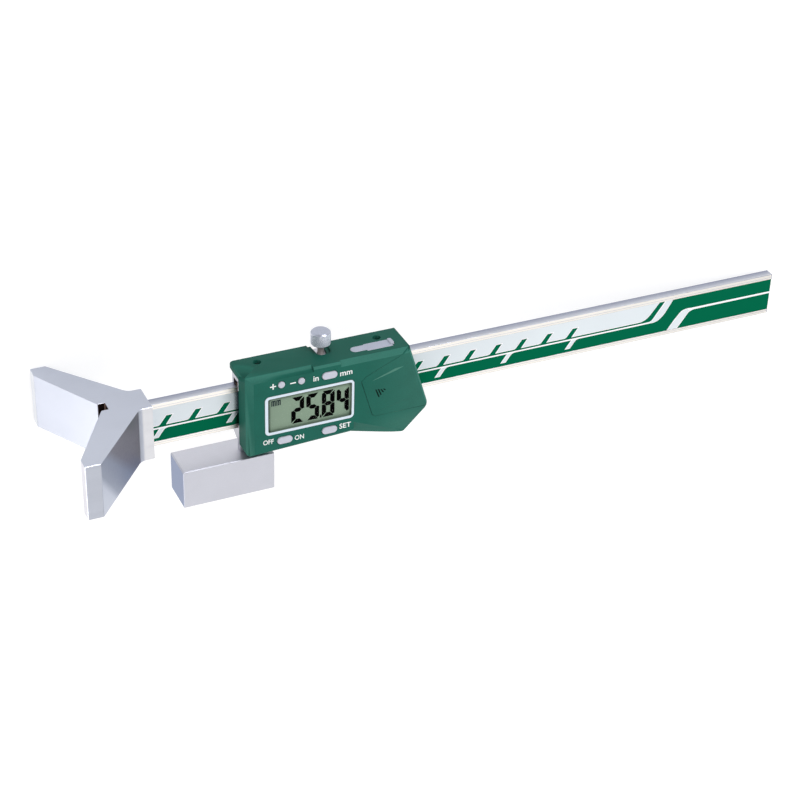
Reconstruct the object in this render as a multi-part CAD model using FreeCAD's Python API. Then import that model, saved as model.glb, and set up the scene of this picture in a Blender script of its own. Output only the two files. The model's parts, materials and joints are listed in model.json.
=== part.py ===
import FreeCAD, Part
import math
import os

os.makedirs("parts", exist_ok=True)
V = FreeCAD.Vector

# Digital caliper, 150 mm, with a fixed 120 degree V jaw and a sliding block jaw.
#
# Everything is first built in the caliper's own frame, in millimetres:
#   X along the beam, 0 where the beam leaves the jaw's stem, + to the free end
#   Y across the beam, 0 at its upper edge, + up
#   Z out of the beam's front face, 0 on that face, + towards the display
# At the end the whole caliper is laid on its back: it rests on the tip of the
# rear V arm and on the back edge of the beam's free end.

# ---------------------------------------------------------------- dimensions
# beam and scale
BEAM_W = 16.0            # width, Y 0 .. -16
BEAM_T = 3.5             # thickness, Z -3.5 .. 0
BEAM_IN = 10.0           # length held in the stem
BEAM_X1 = 238.1          # free end
FIELD_Y0, FIELD_Y1 = -1.9, -14.4   # sunk field for the scale
FIELD_D = 0.9
STRIP_T = 0.6
LABEL_T = 0.22

# fixed V jaw
JAW_ZC = -1.8            # mid plane between the arms
JAW_Y0, JAW_Y1 = -18.0, 2.0
JAW_X0 = -30.0           # tips
TIP_X = -24.85           # where the tip's end face stops
TIP_HALF = 31.0          # half height over the tips
TIP_FLAT = 4.4           # flat left on each tip
STEM_HALF = 6.0
STEM_CORNER_X = -4.5
V_ANGLE = 60.0           # each V face from the X axis
RELIEF_HALF = 2.0        # relief slot at the root of the V
RELIEF_X = -13.4
STEM_FILLET = 4.0
PIN_R = 1.5

# slider frame
FR_X0, FR_X1 = 30.5, 88.3
FR_TOP, FR_BOT = 5.4, -20.9
FR_BACK, FR_FRONT = -5.0, 0.55
RAIL_TOP = 1.8           # under side of the top rail
RAIL_BOT = -16.15        # upper side of the bottom rail
WEB_Z = -3.65            # front of the back web
LIP_Z = 0.12             # back of the front lips
LIP_TOP_Y, LIP_BOT_Y = -1.4, -14.8
FOOT_X0, FOOT_X1 = 31.0, 41.4
FOOT_Z0, FOOT_Z1 = -2.2, 0.3
TONGUE_X0, TONGUE_X1, TONGUE_Y = 32.0, 40.0, -33.75

# sliding block jaw
BLK_X0, BLK_X1 = 9.24, 41.4
BLK_Y0, BLK_Y1 = -39.96, -25.75
BLK_Z0, BLK_Z1 = -8.31, 4.81

# housing
HS_X0 = 30.6             # left face
HS_TOP, HS_BOT = 7.0, -23.0
HS_BACK, HS_FRONT = 0.55, 9.0
HS_XR_TOP = 89.0         # right end at the top edge
HS_XR, HS_YR = 96.6, -17.6   # right-hand point
HS_XB, HS_YB = 87.25, -26.75  # lower right corner
HUMP_X = 68.4            # where the lower edge turns down
WALL = 1.6
LEDGE_X0, LEDGE_BACK = 29.35, -5.3
WALL_IN = 7.4            # inside of the front wall
EDGE_R = 2.0             # rounding of the right-hand front edges

# display
BZ = (36.6, 68.4, -15.5, -0.5)       # bezel, outer X0 X1 Y0 Y1
BZ_IN = (37.75, 67.5, -14.45, -1.5)  # clear opening
BZ_TOP = 9.2
BZ_RIM = 0.35            # thickness of the bezel's skirt round window and display
LCD_Z0, LCD_Z1 = 6.4, 8.15           # back and front of the display
HOLD_TOP = 7.3

# buttons: name -> X, Y, half length, radius
BUTTONS = {
    "button_plus": (42.45, 3.30, 0.0, 1.17),
    "button_minus": (49.50, 3.15, 0.0, 1.17),
    "button_unit": (59.50, 3.05, 1.4, 1.3),
    "button_power": (43.55, -18.45, 1.4, 1.3),
    "button_set": (59.60, -18.45, 1.4, 1.3),
}
BTN_TOP = 9.45
BTN_TRAVEL = 0.5

# circuit board
PCB_Z0, PCB_Z1 = 0.57, 1.57

# lock screw and gib
LOCK_X, LOCK_Z = 60.65, -1.75
GIB_Y0, GIB_Y1 = 0.16, 1.0
GIB_SCREWS = (37.95, 80.8)
GIB_SCREW_Z = -1.6

# step round the lock screw's notch
NOTCH_STEP_D = 0.65

# battery
CELL_X, CELL_Y, CELL_R, CELL_H = 83.2, -7.2, 5.8, 5.4
CELL_Z0 = 1.95

# housing screws
H_SCREWS = ((34.2, 3.6), (71.6, 3.6), (34.2, -18.4), (70.6, -18.4))


# ---------------------------------------------------------------- helpers
def box(x0, x1, y0, y1, z0, z1):
    return Part.makeBox(x1 - x0, y1 - y0, z1 - z0, V(x0, y0, z0))


def cyl(x, y, z, r, h, d):
    return Part.makeCylinder(r, h, V(x, y, z), d)


def cyl_z(x, y, r, z0, z1):
    return cyl(x, y, z0, r, z1 - z0, V(0, 0, 1))


def cyl_y(x, z, r, y0, y1):
    return cyl(x, y0, z, r, y1 - y0, V(0, 1, 0))


def prism_xy(pts, z0, z1):
    w = Part.makePolygon([V(x, y, z0) for x, y in pts] + [V(pts[0][0], pts[0][1], z0)])
    return Part.Face(w).extrude(V(0, 0, z1 - z0))


def prism_xz(pts, y0, y1):
    w = Part.makePolygon([V(x, y0, z) for x, z in pts] + [V(pts[0][0], y0, pts[0][1])])
    return Part.Face(w).extrude(V(0, y1 - y0, 0))


def prism_yz(pts, x0, x1):
    w = Part.makePolygon([V(x0, y, z) for y, z in pts] + [V(x0, pts[0][0], pts[0][1])])
    return Part.Face(w).extrude(V(x1 - x0, 0, 0))


def rounded(x0, x1, y0, y1, r, z0, z1):
    b = box(x0, x1, y0, y1, z0, z1)
    es = [e for e in b.Edges if abs(e.tangentAt(e.FirstParameter).z) > 0.99]
    return b.makeFillet(r, es)


def oval(x, y, half, r, z0, z1):
    if half < 1e-6:
        return cyl_z(x, y, r, z0, z1)
    s = box(x - half, x + half, y - r, y + r, z0, z1)
    s = s.fuse(cyl_z(x - half, y, r, z0, z1)).fuse(cyl_z(x + half, y, r, z0, z1))
    return s.removeSplitter()


def beyond(p, n, size=160.0):
    """A big block whose face passes through p, on the side that n points to."""
    b = Part.makeBox(size, size, size, V(-size / 2, -size / 2, 0))
    b.Placement = FreeCAD.Placement(V(*p), FreeCAD.Rotation(V(0, 0, 1), V(*n)))
    return b


def normal(a, b, c):
    a, b, c = V(*a), V(*b), V(*c)
    n = (b - a).cross(c - a)
    n.normalize()
    return n


def solid(s):
    s = s.removeSplitter()
    if s.ShapeType == "Compound" and len(s.Solids) == 1:
        s = s.Solids[0]
    return s


def edges_where(s, test):
    return [e for e in s.Edges if test(e)]


def broken(s, size, test):
    """The solid with a small chamfer on the edges that pass the test."""
    return s.makeChamfer(size, edges_where(s, test))


def low_hull(base, z, tops):
    """A low faceted bump: its base polygon at z, its two top points, and the
    faces between them given as lists of point numbers."""
    pts = [V(x, y, z) for x, y in base] + [V(*p) for p in tops]
    n = len(base)
    faces = [list(range(n)), [0, n - 1, n + 1], [0, n + 1, n], [0, n, 1], [1, n, 2], [2, n, n + 1], [2, n + 1, 3], [3, n + 1, 4], [4, n + 1, 5]]
    made = [Part.Face(Part.makePolygon([pts[i] for i in f] + [pts[f[0]]])) for f in faces]
    return Part.Solid(Part.Shell(made))


nodes = {}

# ---------------------------------------------------------------- beam
beam = box(-BEAM_IN, BEAM_X1, -BEAM_W, 0, -BEAM_T, 0)
beam = beam.cut(box(0.15, BEAM_X1 + 1, FIELD_Y1, FIELD_Y0, -FIELD_D, 1))
for y in (-4.0, -12.0):
    beam = beam.cut(cyl_z(-5.0, y, PIN_R, -BEAM_T - 1, 1))
nodes["beam"] = solid(beam)

nodes["scale_strip"] = box(0.2, BEAM_X1 - 0.3, FIELD_Y1 + 0.03, FIELD_Y0 - 0.03, -FIELD_D, -FIELD_D + STRIP_T)
nodes["scale_label"] = box(0.2, BEAM_X1 - 0.1, FIELD_Y1 + 0.03, FIELD_Y0 - 0.03, -FIELD_D + STRIP_T, -FIELD_D + STRIP_T + LABEL_T)

# ---------------------------------------------------------------- fixed V jaw
root_x = JAW_X0 + (TIP_HALF - TIP_FLAT - RELIEF_HALF) / math.tan(math.radians(V_ANGLE))
half = [
    (0.0, STEM_HALF),
    (STEM_CORNER_X, STEM_HALF),
    (TIP_X, TIP_HALF),
    (JAW_X0, TIP_HALF),
    (JAW_X0, TIP_HALF - TIP_FLAT),
    (root_x, RELIEF_HALF),
    (RELIEF_X, RELIEF_HALF),
]
profile = [(x, JAW_ZC + z) for x, z in half] + [(x, JAW_ZC - z) for x, z in reversed(half)]
v_jaw = prism_xz(profile, JAW_Y0, JAW_Y1)
inner = edges_where(
    v_jaw,
    lambda e: abs(e.BoundBox.XLength) < 1e-6
    and abs(e.BoundBox.ZLength) < 1e-6
    and abs(e.BoundBox.XMin - STEM_CORNER_X) < 1e-3,
)
v_jaw = v_jaw.makeFillet(STEM_FILLET, inner)
v_jaw = broken(v_jaw, 0.15, lambda e: abs(e.BoundBox.YMin - JAW_Y1) < 1e-4 or abs(e.BoundBox.YMax - JAW_Y0) < 1e-4 or e.BoundBox.XMax < -4)
v_jaw = v_jaw.cut(box(-BEAM_IN, 1, -BEAM_W, 0, -BEAM_T, 0))
for y in (-4.0, -12.0):
    v_jaw = v_jaw.cut(cyl_z(-5.0, y, PIN_R, JAW_ZC - STEM_HALF - 1, 1.6))
nodes["v_jaw"] = solid(v_jaw)

pins = [cyl_z(-5.0, y, PIN_R - 0.02, JAW_ZC - STEM_HALF, 1.5) for y in (-4.0, -12.0)]
nodes["jaw_pins"] = Part.Compound(pins)

# ---------------------------------------------------------------- slider frame
fr = box(FR_X0, FR_X1, FR_BOT, FR_TOP, FR_BACK, FR_FRONT)
# lower back corner is cut away
fr = fr.cut(prism_yz([(FR_BOT - 1, FR_BACK - 1), (FR_BOT + 1.5, FR_BACK - 1), (FR_BOT + 1.5, FR_BACK), (FR_BOT, FOOT_Z0), (FR_BOT - 1, FOOT_Z0)], FR_X0 - 1, FR_X1 + 1))
# channel for the beam, with front lips over the beam's bare edges
fr = fr.cut(box(FR_X0 - 1, FR_X1 + 1, RAIL_BOT, RAIL_TOP, WEB_Z, LIP_Z))
fr = fr.cut(box(FR_X0 - 1, FR_X1 + 1, LIP_BOT_Y, LIP_TOP_Y, WEB_Z, FR_FRONT + 1))
foot = box(FOOT_X0, FOOT_X1, BLK_Y1, FR_BOT, FOOT_Z0, FOOT_Z1)
tongue = box(TONGUE_X0, TONGUE_X1, TONGUE_Y, BLK_Y1, FOOT_Z0, FOOT_Z1)
fr = fr.fuse(foot).fuse(tongue)
# threaded holes for the lock screw and the gib screws
fr = fr.cut(cyl_y(LOCK_X, LOCK_Z, 1.25, RAIL_TOP - 1, FR_TOP + 1))
for x in GIB_SCREWS:
    fr = fr.cut(cyl_y(x, GIB_SCREW_Z, 1.0, RAIL_TOP - 1, FR_TOP + 1))
# holes for the housing screws, heads sunk in the back
for x, y in H_SCREWS:
    fr = fr.cut(cyl_z(x, y, 0.9, FR_BACK - 1, FR_FRONT + 1))
    fr = fr.cut(cyl_z(x, y, 1.55, FR_BACK - 1, FR_BACK + 1.15))
# holes for the block screws through the tongue
BLK_SCREWS = ((34.2, -27.95), (37.8, -31.6))
for x, y in BLK_SCREWS:
    fr = fr.cut(cyl_z(x, y, 1.3, FOOT_Z0 - 1, FOOT_Z1 + 1))
nodes["slider_frame"] = solid(fr)

# ---------------------------------------------------------------- block jaw
blk = box(BLK_X0, BLK_X1, BLK_Y0, BLK_Y1, BLK_Z0, BLK_Z1)
blk = broken(blk, 0.45, lambda e: abs(e.BoundBox.XMax - BLK_X0) < 1e-4 and abs(e.BoundBox.YMin - BLK_Y1) < 1e-4)
blk = broken(blk, 0.18, lambda e: e.BoundBox.DiagonalLength > 5 and not (e.BoundBox.XMax < BLK_X0 + 0.6 and e.BoundBox.YMin > BLK_Y1 - 0.6))
blk = blk.cut(box(TONGUE_X0, TONGUE_X1, TONGUE_Y, BLK_Y1 + 1, FOOT_Z0, FOOT_Z1))
for x, y in BLK_SCREWS:
    blk = blk.cut(cyl_z(x, y, 1.3, BLK_Z0 - 1, 3.6))
    blk = blk.cut(cyl_z(x, y, 2.35, BLK_Z0 - 1, BLK_Z0 + 2.9))
nodes["jaw_block"] = solid(blk)

screws = []
for x, y in BLK_SCREWS:
    s = cyl_z(x, y, 2.25, BLK_Z0 + 0.4, BLK_Z0 + 2.9)
    hexa = prism_xy([(x + 1.15 * math.cos(math.radians(a)), y + 1.15 * math.sin(math.radians(a))) for a in range(0, 360, 60)], BLK_Z0 + 0.3, BLK_Z0 + 1.7)
    s = s.cut(hexa).fuse(cyl_z(x, y, 1.25, BLK_Z0 + 2.9, 3.4))
    screws.append(solid(s))
nodes["block_screws"] = Part.Compound(screws)

# ---------------------------------------------------------------- gib, lock screw
gib = box(FR_X0 + 0.8, FR_X1 - 0.8, GIB_Y0, GIB_Y1, -3.2, -0.4)
for x in GIB_SCREWS:
    gib = gib.cut(cyl_y(x, GIB_SCREW_Z, 0.55, 0.45, 2))
nodes["gib_strip"] = solid(gib)

gs = []
for x in GIB_SCREWS:
    s = cyl_y(x, GIB_SCREW_Z, 0.95, GIB_Y1 + 0.03, 4.7).fuse(cyl_y(x, GIB_SCREW_Z, 0.45, 0.6, GIB_Y1 + 0.03))
    s = s.cut(box(x - 1.2, x + 1.2, 4.1, 5, GIB_SCREW_Z - 0.17, GIB_SCREW_Z + 0.17))
    gs.append(solid(s))
nodes["gib_screws"] = Part.Compound(gs)

LS = [
    (0, GIB_Y1 + 0.02), (0.9, GIB_Y1 + 0.02), (1.2, GIB_Y1 + 0.4), (1.2, 5.3), (1.08, 5.5),
    (1.08, 8.35), (1.5, 8.75), (2.75, 8.8), (3.42, 9.35), (3.42, 13.4), (2.8, 14.0), (0, 14.0),
]
w = Part.makePolygon([V(LOCK_X + r, y, LOCK_Z) for r, y in LS] + [V(LOCK_X, LS[0][1], LOCK_Z)])
nodes["lock_screw"] = solid(Part.Face(w).revolve(V(LOCK_X, 0, LOCK_Z), V(0, 1, 0), 360))

# ---------------------------------------------------------------- housing, outer form
outline = [
    (HS_X0, HS_TOP), (HS_XR_TOP, HS_TOP), (HS_XR, HS_YR), (HS_XB, HS_YB), (HUMP_X, HS_BOT), (HS_X0, HS_BOT),
]
outer = prism_xy(outline, HS_BACK, HS_FRONT)


def upright(e, x, y):
    b = e.BoundBox
    return b.XLength < 1e-6 and b.YLength < 1e-6 and abs(b.XMin - x) < 1e-3 and abs(b.YMin - y) < 1e-3


outer = outer.makeFillet(3.0, edges_where(outer, lambda e: upright(e, HS_XR, HS_YR)))
outer = outer.makeFillet(1.8, edges_where(outer, lambda e: upright(e, HS_XB, HS_YB)))
outer = outer.makeFillet(1.0, edges_where(outer, lambda e: upright(e, HS_X0, HS_BOT)))

# rounded front edges round the right-hand end
front_right = edges_where(
    outer,
    lambda e: abs(e.BoundBox.ZMin - HS_FRONT) < 1e-4
    and abs(e.BoundBox.ZMax - HS_FRONT) < 1e-4
    and e.BoundBox.XMax > HS_XR_TOP - 1.5
    and e.BoundBox.YMax < HS_TOP + 0.1
    and e.BoundBox.XLength > 0.05
    and e.BoundBox.YLength > 0.05
    and e.BoundBox.XMin > HS_XB - 1.5
    and not (e.BoundBox.YMin < HS_YB + 0.55 and e.BoundBox.XMax < 87.5),
)
outer = outer.makeFillet(EDGE_R, front_right)

# ledge over the top of the frame, wider than the housing on the left
ledge = prism_xz(
    [(LEDGE_X0, LEDGE_BACK), (HS_XR_TOP, LEDGE_BACK), (HS_XR_TOP, HS_BACK + 0.5), (33.0, HS_BACK + 0.5), (33.0, 6.84), (30.78, 6.84), (LEDGE_X0, 4.6)],
    FR_TOP, HS_TOP,
)
ledge = ledge.makeFillet(1.7, edges_where(ledge, lambda e: e.BoundBox.XLength < 1e-6 and e.BoundBox.ZLength < 1e-6 and abs(e.BoundBox.XMin - LEDGE_X0) < 1e-3 and abs(e.BoundBox.ZMin - LEDGE_BACK) < 1e-3))
outer = outer.fuse(ledge)

# bevels along the front: left side, three stretches of the top, the bottom, the lower right
outer = outer.cut(beyond((32.8, 0, HS_FRONT), (-1, 0, 1)))
top_left = beyond((0, 5.5, HS_FRONT), (0, 2.4, 1.5)).common(box(20, 53.9, -10, 20, -20, 20))
top_mid = beyond((0, 6.25, HS_FRONT), (0, 1, 1)).common(box(53.9, 63.6, -10, 20, -20, 20))
top_right = beyond((80, 5.2, HS_FRONT), (0, 1.5, 1.8)).common(box(63.6, 120, -10, 20, -20, 20))
outer = outer.cut(top_left).cut(top_mid).cut(top_right)
n = normal((32.8, -21.8, HS_FRONT), (67.0, -20.1, HS_FRONT), (32.8, -23.0, HS_FRONT - 1.2))
if n.z < 0:
    n = n * -1
low = beyond((32.8, -21.8, HS_FRONT), tuple(n))
low = low.common(prism_xy([(20, -10), (72.8, -10), (72.8, -19.4), (HUMP_X, HS_BOT), (HUMP_X, -40), (20, -40)], -5, 20))
outer = outer.cut(low)
A, B, D = (72.8, -19.35, HS_FRONT), (HUMP_X, HS_BOT, 5.9), (87.2, -25.5, HS_FRONT)
n = normal(A, B, D)
if n.z < 0:
    n = n * -1
outer = outer.cut(beyond(A, tuple(n)).common(box(HUMP_X - 0.001, 120, -40, -15, -5, 20)))
outer = solid(outer)

# ---------------------------------------------------------------- battery door
door_pts = [
    (90.2, 8.3), (88.6, 7.0), (84.6, 4.6), (72.5, -0.75), (70.9, -2.3), (75.0, -16.0), (76.2, -17.1), (110.0, -17.1), (110.0, 8.3),
]
dp = prism_xy(door_pts, 0, 20)
dp = dp.makeFillet(1.4, edges_where(dp, lambda e: upright(e, 72.5, -0.75)))
dp = dp.makeFillet(2.2, edges_where(dp, lambda e: upright(e, 84.6, 4.6)))
GAP = 0.11
edge_dir = V(HS_XR - HS_XR_TOP, HS_YR - HS_TOP, 0)
edge_dir.normalize()
edge_in = V(edge_dir.y, -edge_dir.x, 0)   # points inwards, to -X
if edge_in.x > 0:
    edge_in = edge_in * -1


def right_of_edge(inset, y0, y1, z0, z1):
    """Everything beyond the right-hand edge line moved inwards by inset."""
    a = V(HS_XR_TOP, HS_TOP, 0) + edge_in * inset
    ya, yb = y0, y1
    xa = a.x + (ya - a.y) * edge_dir.x / edge_dir.y
    xb = a.x + (yb - a.y) * edge_dir.x / edge_dir.y
    return prism_xy([(xa, ya), (120, ya), (120, yb), (xb, yb)], z0, z1)


DOOR_T = 1.5
DOOR_WALL = 1.5
door_wall = outer.common(right_of_edge(DOOR_WALL, -17.1, 5.25, HS_BACK + 0.2, WALL_IN + 0.2))

# housing side of the seam
recess = dp.common(box(60, 120, -30, 20, WALL_IN, 20))
recess = recess.fuse(right_of_edge(DOOR_WALL + 0.12, -17.1 - GAP, 5.35, HS_BACK - 1, WALL_IN + 0.2))
recess = recess.fuse(box(77.3, 100, -17.85, -17.0, WALL_IN + 0.05, WALL_IN + 0.75))

# ---------------------------------------------------------------- housing, inside
h = outer.cut(recess)
# electronics bay
h = h.cut(box(HS_X0 + WALL, 73.4, HS_BOT + WALL, FR_TOP, HS_BACK - 1, 5.5))
h = h.cut(box(HS_X0 + WALL, 73.4, -20.3, 4.9, 5.4, WALL_IN))
# bay under the battery door, round the cell's cup
bay = prism_xy([(74.8, 3.9), (87.4, 3.9), (92.7, -15.9), (74.8, -15.9)], HS_BACK - 1, 6.1)
bay = bay.cut(cyl_z(CELL_X, CELL_Y, CELL_R + 1.5, HS_BACK - 2, 9))
h = h.cut(bay)
# bay in the lower right grip
h = h.cut(prism_xy([(74.8, -18.9), (92.6, -18.9), (87.1, -25.2), (74.8, -22.6)], HS_BACK - 1, 4.8))
# cell's cup, open under the door
h = h.cut(cyl_z(CELL_X, CELL_Y, CELL_R + 0.2, CELL_Z0 - 0.6, 20).common(box(60, 120, -30, 20, 0, WALL_IN + 0.05)))
# display opening with a seat for the bezel
h = h.cut(rounded(BZ[0] - 0.04, BZ[1] + 0.04, BZ[2] - 0.04, BZ[3] + 0.04, 1.6, 8.0, 12))
h = h.cut(rounded(BZ[0] + 0.32, BZ[1] - 0.32, BZ[2] + 0.32, BZ[3] - 0.32, 1.3, 5, 9))
# button holes
for x, y, hl, r in BUTTONS.values():
    h = h.cut(oval(x, y, hl, r + 0.14, 5, 12))
# access holes for the gib screws, notch for the lock screw
for x in GIB_SCREWS:
    h = h.cut(cyl_y(x, GIB_SCREW_Z, 1.47, FR_TOP - 1, HS_TOP + 1))
NOTCH_X, NOTCH_Z, NOTCH_R = 60.4, -0.5, 1.75
notch = prism_xz([(58.3, LEDGE_BACK - 1), (62.6, LEDGE_BACK - 1), (NOTCH_X + NOTCH_R, NOTCH_Z), (NOTCH_X - NOTCH_R, NOTCH_Z)], FR_TOP - 0.2, HS_TOP + 1)
notch = notch.fuse(cyl_y(NOTCH_X, NOTCH_Z, NOTCH_R, FR_TOP - 0.2, HS_TOP + 1))
notch = notch.cut(box(50, 70, FR_TOP - 1, FR_TOP + 0.25, HS_BACK, 10))
h = h.cut(notch)
# shallow step round the notch
RIM_X, RIM_Z, RIM_R = 60.25, -0.4, 3.15
rim = prism_xz([(56.9, LEDGE_BACK - 1), (64.0, LEDGE_BACK - 1), (RIM_X + RIM_R, RIM_Z), (RIM_X - RIM_R, RIM_Z)], HS_TOP - NOTCH_STEP_D, HS_TOP + 1)
rim = rim.fuse(cyl_y(RIM_X, RIM_Z, RIM_R, HS_TOP - NOTCH_STEP_D, HS_TOP + 1))
h = h.cut(rim)
# seat for the port cover and the port's opening
PC_Y = 6.05


def cover_plan(grow, y0, y1):
    g = grow
    s = box(74.75 - g, 84.0 + g, y0, y1, 1.05 - g, 5.3 + g)
    s = s.fuse(box(71.1, 75.5, y0, y1, 1.4 - g, 4.65 + g))
    s = s.fuse(cyl_y(71.1, 3.025, 1.625 + g, y0, y1))
    s = s.fuse(box(83.2, 84.75 + g, y0, y1, 1.25 - g, 4.45 + g))
    return s.removeSplitter()


h = h.cut(cover_plan(0.06, PC_Y, HS_TOP + 2))
h = h.cut(box(76.0, 82.6, 3.8, PC_Y + 0.1, 1.9, 4.5))
# bosses for the housing screws
for x, y in H_SCREWS:
    h = h.fuse(cyl_z(x, y, 1.7, HS_BACK, WALL_IN + 0.1).common(outer))
    h = h.cut(cyl_z(x, y, 0.82, HS_BACK - 1, 6.2))
nodes["front_housing"] = solid(h)

# the door: a plate a little inside the recess, a wall over the right-hand end,
# and a tongue along the lower edge that runs in the housing's groove
moved = dp.copy()
moved.translate(V(GAP * 1.3, 0, 0))
moved2 = dp.copy()
moved2.translate(V(0, -GAP, 0))
moved3 = dp.copy()
moved3.translate(V(0, GAP, 0))
keep = moved.common(moved2).common(moved3)
door_plate = outer.common(keep.common(box(60, 120, -30, 20, WALL_IN + 0.1, 20)))
door = door_plate.fuse(door_wall)
door = door.fuse(box(77.5, 91.0, -17.75, -16.9, WALL_IN + 0.15, WALL_IN + 0.65))
door = door.cut(beyond((0, 5.27, 0), (0, 1, 0)).common(box(60, 120, -30, 20, -5, WALL_IN + 0.05)))
# a low pad for the thumb, rising to the right, and the arrow of grooves
PAD = [(73.9, -3.15), (83.3, 0.3), (86.58, 0.5), (89.73, -11.3), (89.3, -13.15), (77.2, -15.5)]
PAD_H = 0.42
door = door.fuse(prism_xy(PAD, HS_FRONT - 0.2, HS_FRONT))
door = door.fuse(low_hull(PAD, HS_FRONT, [(83.2, -0.4, HS_FRONT + PAD_H), (86.35, -12.2, HS_FRONT + PAD_H)]))
GROOVE_W, GROOVE_D = 0.52, 0.35
for (x0, y0), (x1, y1) in (((76.25, -6.41), (77.54, -9.75)), ((77.18, -6.43), (78.18, -8.99)), ((78.12, -6.65), (79.0, -8.07)), ((79.06, -6.67), (79.73, -7.43))):
    wx = GROOVE_W / 2
    door = door.cut(prism_xy([(x0 - wx, y0), (x0 + wx, y0), (x1 + wx, y1), (x1 - wx, y1)], HS_FRONT - GROOVE_D, HS_FRONT + 1))
nodes["battery_door"] = solid(door)

# port cover with its tab and the plug under it
pc = cover_plan(0.0, PC_Y + 0.03, HS_TOP + 0.05)
tab = box(83.45, 84.75, PC_Y + 0.03, HS_TOP + 0.6, 1.25, 4.45)
tab = tab.makeFillet(0.45, [e for e in tab.Edges if e.BoundBox.XMin > 84.7 and e.BoundBox.YLength > 0.5])
pc = pc.fuse(tab)
pc = pc.fuse(box(76.2, 82.4, 5.45, PC_Y + 0.1, 2.1, 4.3))
nodes["port_cover"] = solid(pc)

hs = []
for x, y in H_SCREWS:
    s = cyl_z(x, y, 1.5, FR_BACK + 0.05, FR_BACK + 1.15).fuse(cyl_z(x, y, 0.8, FR_BACK + 1.15, 5.8))
    c = box(x - 0.85, x + 0.85, y - 0.14, y + 0.14, FR_BACK, FR_BACK + 0.7)
    c = c.fuse(box(x - 0.14, x + 0.14, y - 0.85, y + 0.85, FR_BACK, FR_BACK + 0.7))
    hs.append(solid(s.cut(c)))
nodes["housing_screws"] = Part.Compound(hs)

# ---------------------------------------------------------------- display stack
bz = rounded(BZ[0], BZ[1], BZ[2], BZ[3], 1.6, 8.02, BZ_TOP)
bz = bz.cut(rounded(BZ_IN[0], BZ_IN[1], BZ_IN[2], BZ_IN[3], 0.6, 8, 10))
bz = bz.cut(rounded(BZ[0] + BZ_RIM, BZ[1] - BZ_RIM, BZ[2] + BZ_RIM, BZ[3] - BZ_RIM, 1.25, 8, 8.75))
nodes["lcd_bezel"] = solid(bz)


def inset(d):
    return BZ[0] + BZ_RIM + d, BZ[1] - BZ_RIM - d, BZ[2] + BZ_RIM + d, BZ[3] - BZ_RIM - d


nodes["lcd_window"] = rounded(*inset(0.04), 1.2, LCD_Z1 + 0.03, 8.72)
nodes["lcd_panel"] = rounded(*inset(0.06), 1.2, LCD_Z0, LCD_Z1)
hold = box(36.5, 68.5, -15.6, -0.4, PCB_Z1, HOLD_TOP).cut(box(*inset(0.02), LCD_Z0, 8)).cut(box(38.3, 66.5, -13.9, -2.1, PCB_Z1 - 1, 7))
nodes["lcd_holder"] = solid(hold)
nodes["lcd_connectors"] = Part.Compound([box(38.8, 66.0, -13.85, -12.65, PCB_Z1, LCD_Z0), box(38.8, 66.0, -3.35, -2.15, PCB_Z1, LCD_Z0)])


# ---------------------------------------------------------------- circuit board
pcb = box(32.6, 73.0, -20.9, 5.1, PCB_Z0, PCB_Z1)
pcb = pcb.fuse(box(72.9, 73.35, 0.8, 3.7, PCB_Z0, PCB_Z1))
for x, y in H_SCREWS:
    pcb = pcb.cut(cyl_z(x, y, 1.9, -1, 3))
    pcb = pcb.cut(box(x - 1.9 if x < 40 else x, x if x < 40 else x + 5, y - 1.9, y + 1.9, -1, 3))
nodes["circuit_board"] = solid(pcb)
nodes["board_chip"] = cyl_z(52.5, -8.0, 4.2, PCB_Z1, PCB_Z1 + 1.1)

domes = []
for x, y, hl, r in BUTTONS.values():
    d = Part.makeCone(1.45, 1.0, 0.35, V(x, y, PCB_Z1), V(0, 0, 1))
    domes.append(d)
nodes["key_domes"] = Part.Compound(domes)

for name, (x, y, hl, r) in BUTTONS.items():
    cap = oval(x, y, hl, r, WALL_IN - 0.85, BTN_TOP)
    top = [e for e in cap.Edges if abs(e.BoundBox.ZMin - BTN_TOP) < 1e-4 and abs(e.BoundBox.ZMax - BTN_TOP) < 1e-4]
    cap = cap.makeFillet(0.3, top)
    ears = box(x - hl - r - 0.6, x + hl + r + 0.6, y - 0.9, y + 0.9, WALL_IN - 0.85, WALL_IN - 0.05)
    stem = cyl_z(x, y, 0.9, PCB_Z1 + 0.35 + BTN_TRAVEL + 0.1, WALL_IN - 0.8)
    nodes[name] = solid(cap.fuse(ears).fuse(stem))

# ---------------------------------------------------------------- battery
cell = cyl_z(CELL_X, CELL_Y, CELL_R, CELL_Z0, CELL_Z0 + 4.6).fuse(cyl_z(CELL_X, CELL_Y, CELL_R - 0.9, CELL_Z0 + 4.6, CELL_Z0 + CELL_H - 0.05))
cell.rotate(V(CELL_X, CELL_Y, CELL_Z0 + CELL_H / 2), V(1, 0, 0), 180)
nodes["battery_cell"] = solid(cell)
sp = cyl_z(CELL_X, CELL_Y, 3.2, CELL_Z0 - 0.6, CELL_Z0 - 0.4)
sp = sp.fuse(cyl_z(CELL_X, CELL_Y, 1.2, CELL_Z0 - 0.5, CELL_Z0 - 0.02))
nodes["battery_spring"] = solid(sp)
clip = box(74.85, 75.15, -5.5, -1.5, HS_BACK + 0.05, 5.9)
clip = clip.fuse(box(74.85, 77.1, -5.5, -1.5, 5.6, 5.9).cut(cyl_z(CELL_X, CELL_Y, CELL_R + 1.55, 0, 9)))
nodes["battery_clip"] = solid(clip)
port = box(76.4, 82.2, 2.4, 3.7, HS_BACK + 0.05, 4.3)
for i in range(4):
    port = port.cut(box(77.2 + 1.25 * i, 77.75 + 1.25 * i, 3.2, 4, 2.2, 4.4))
nodes["data_port"] = solid(port)

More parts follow.
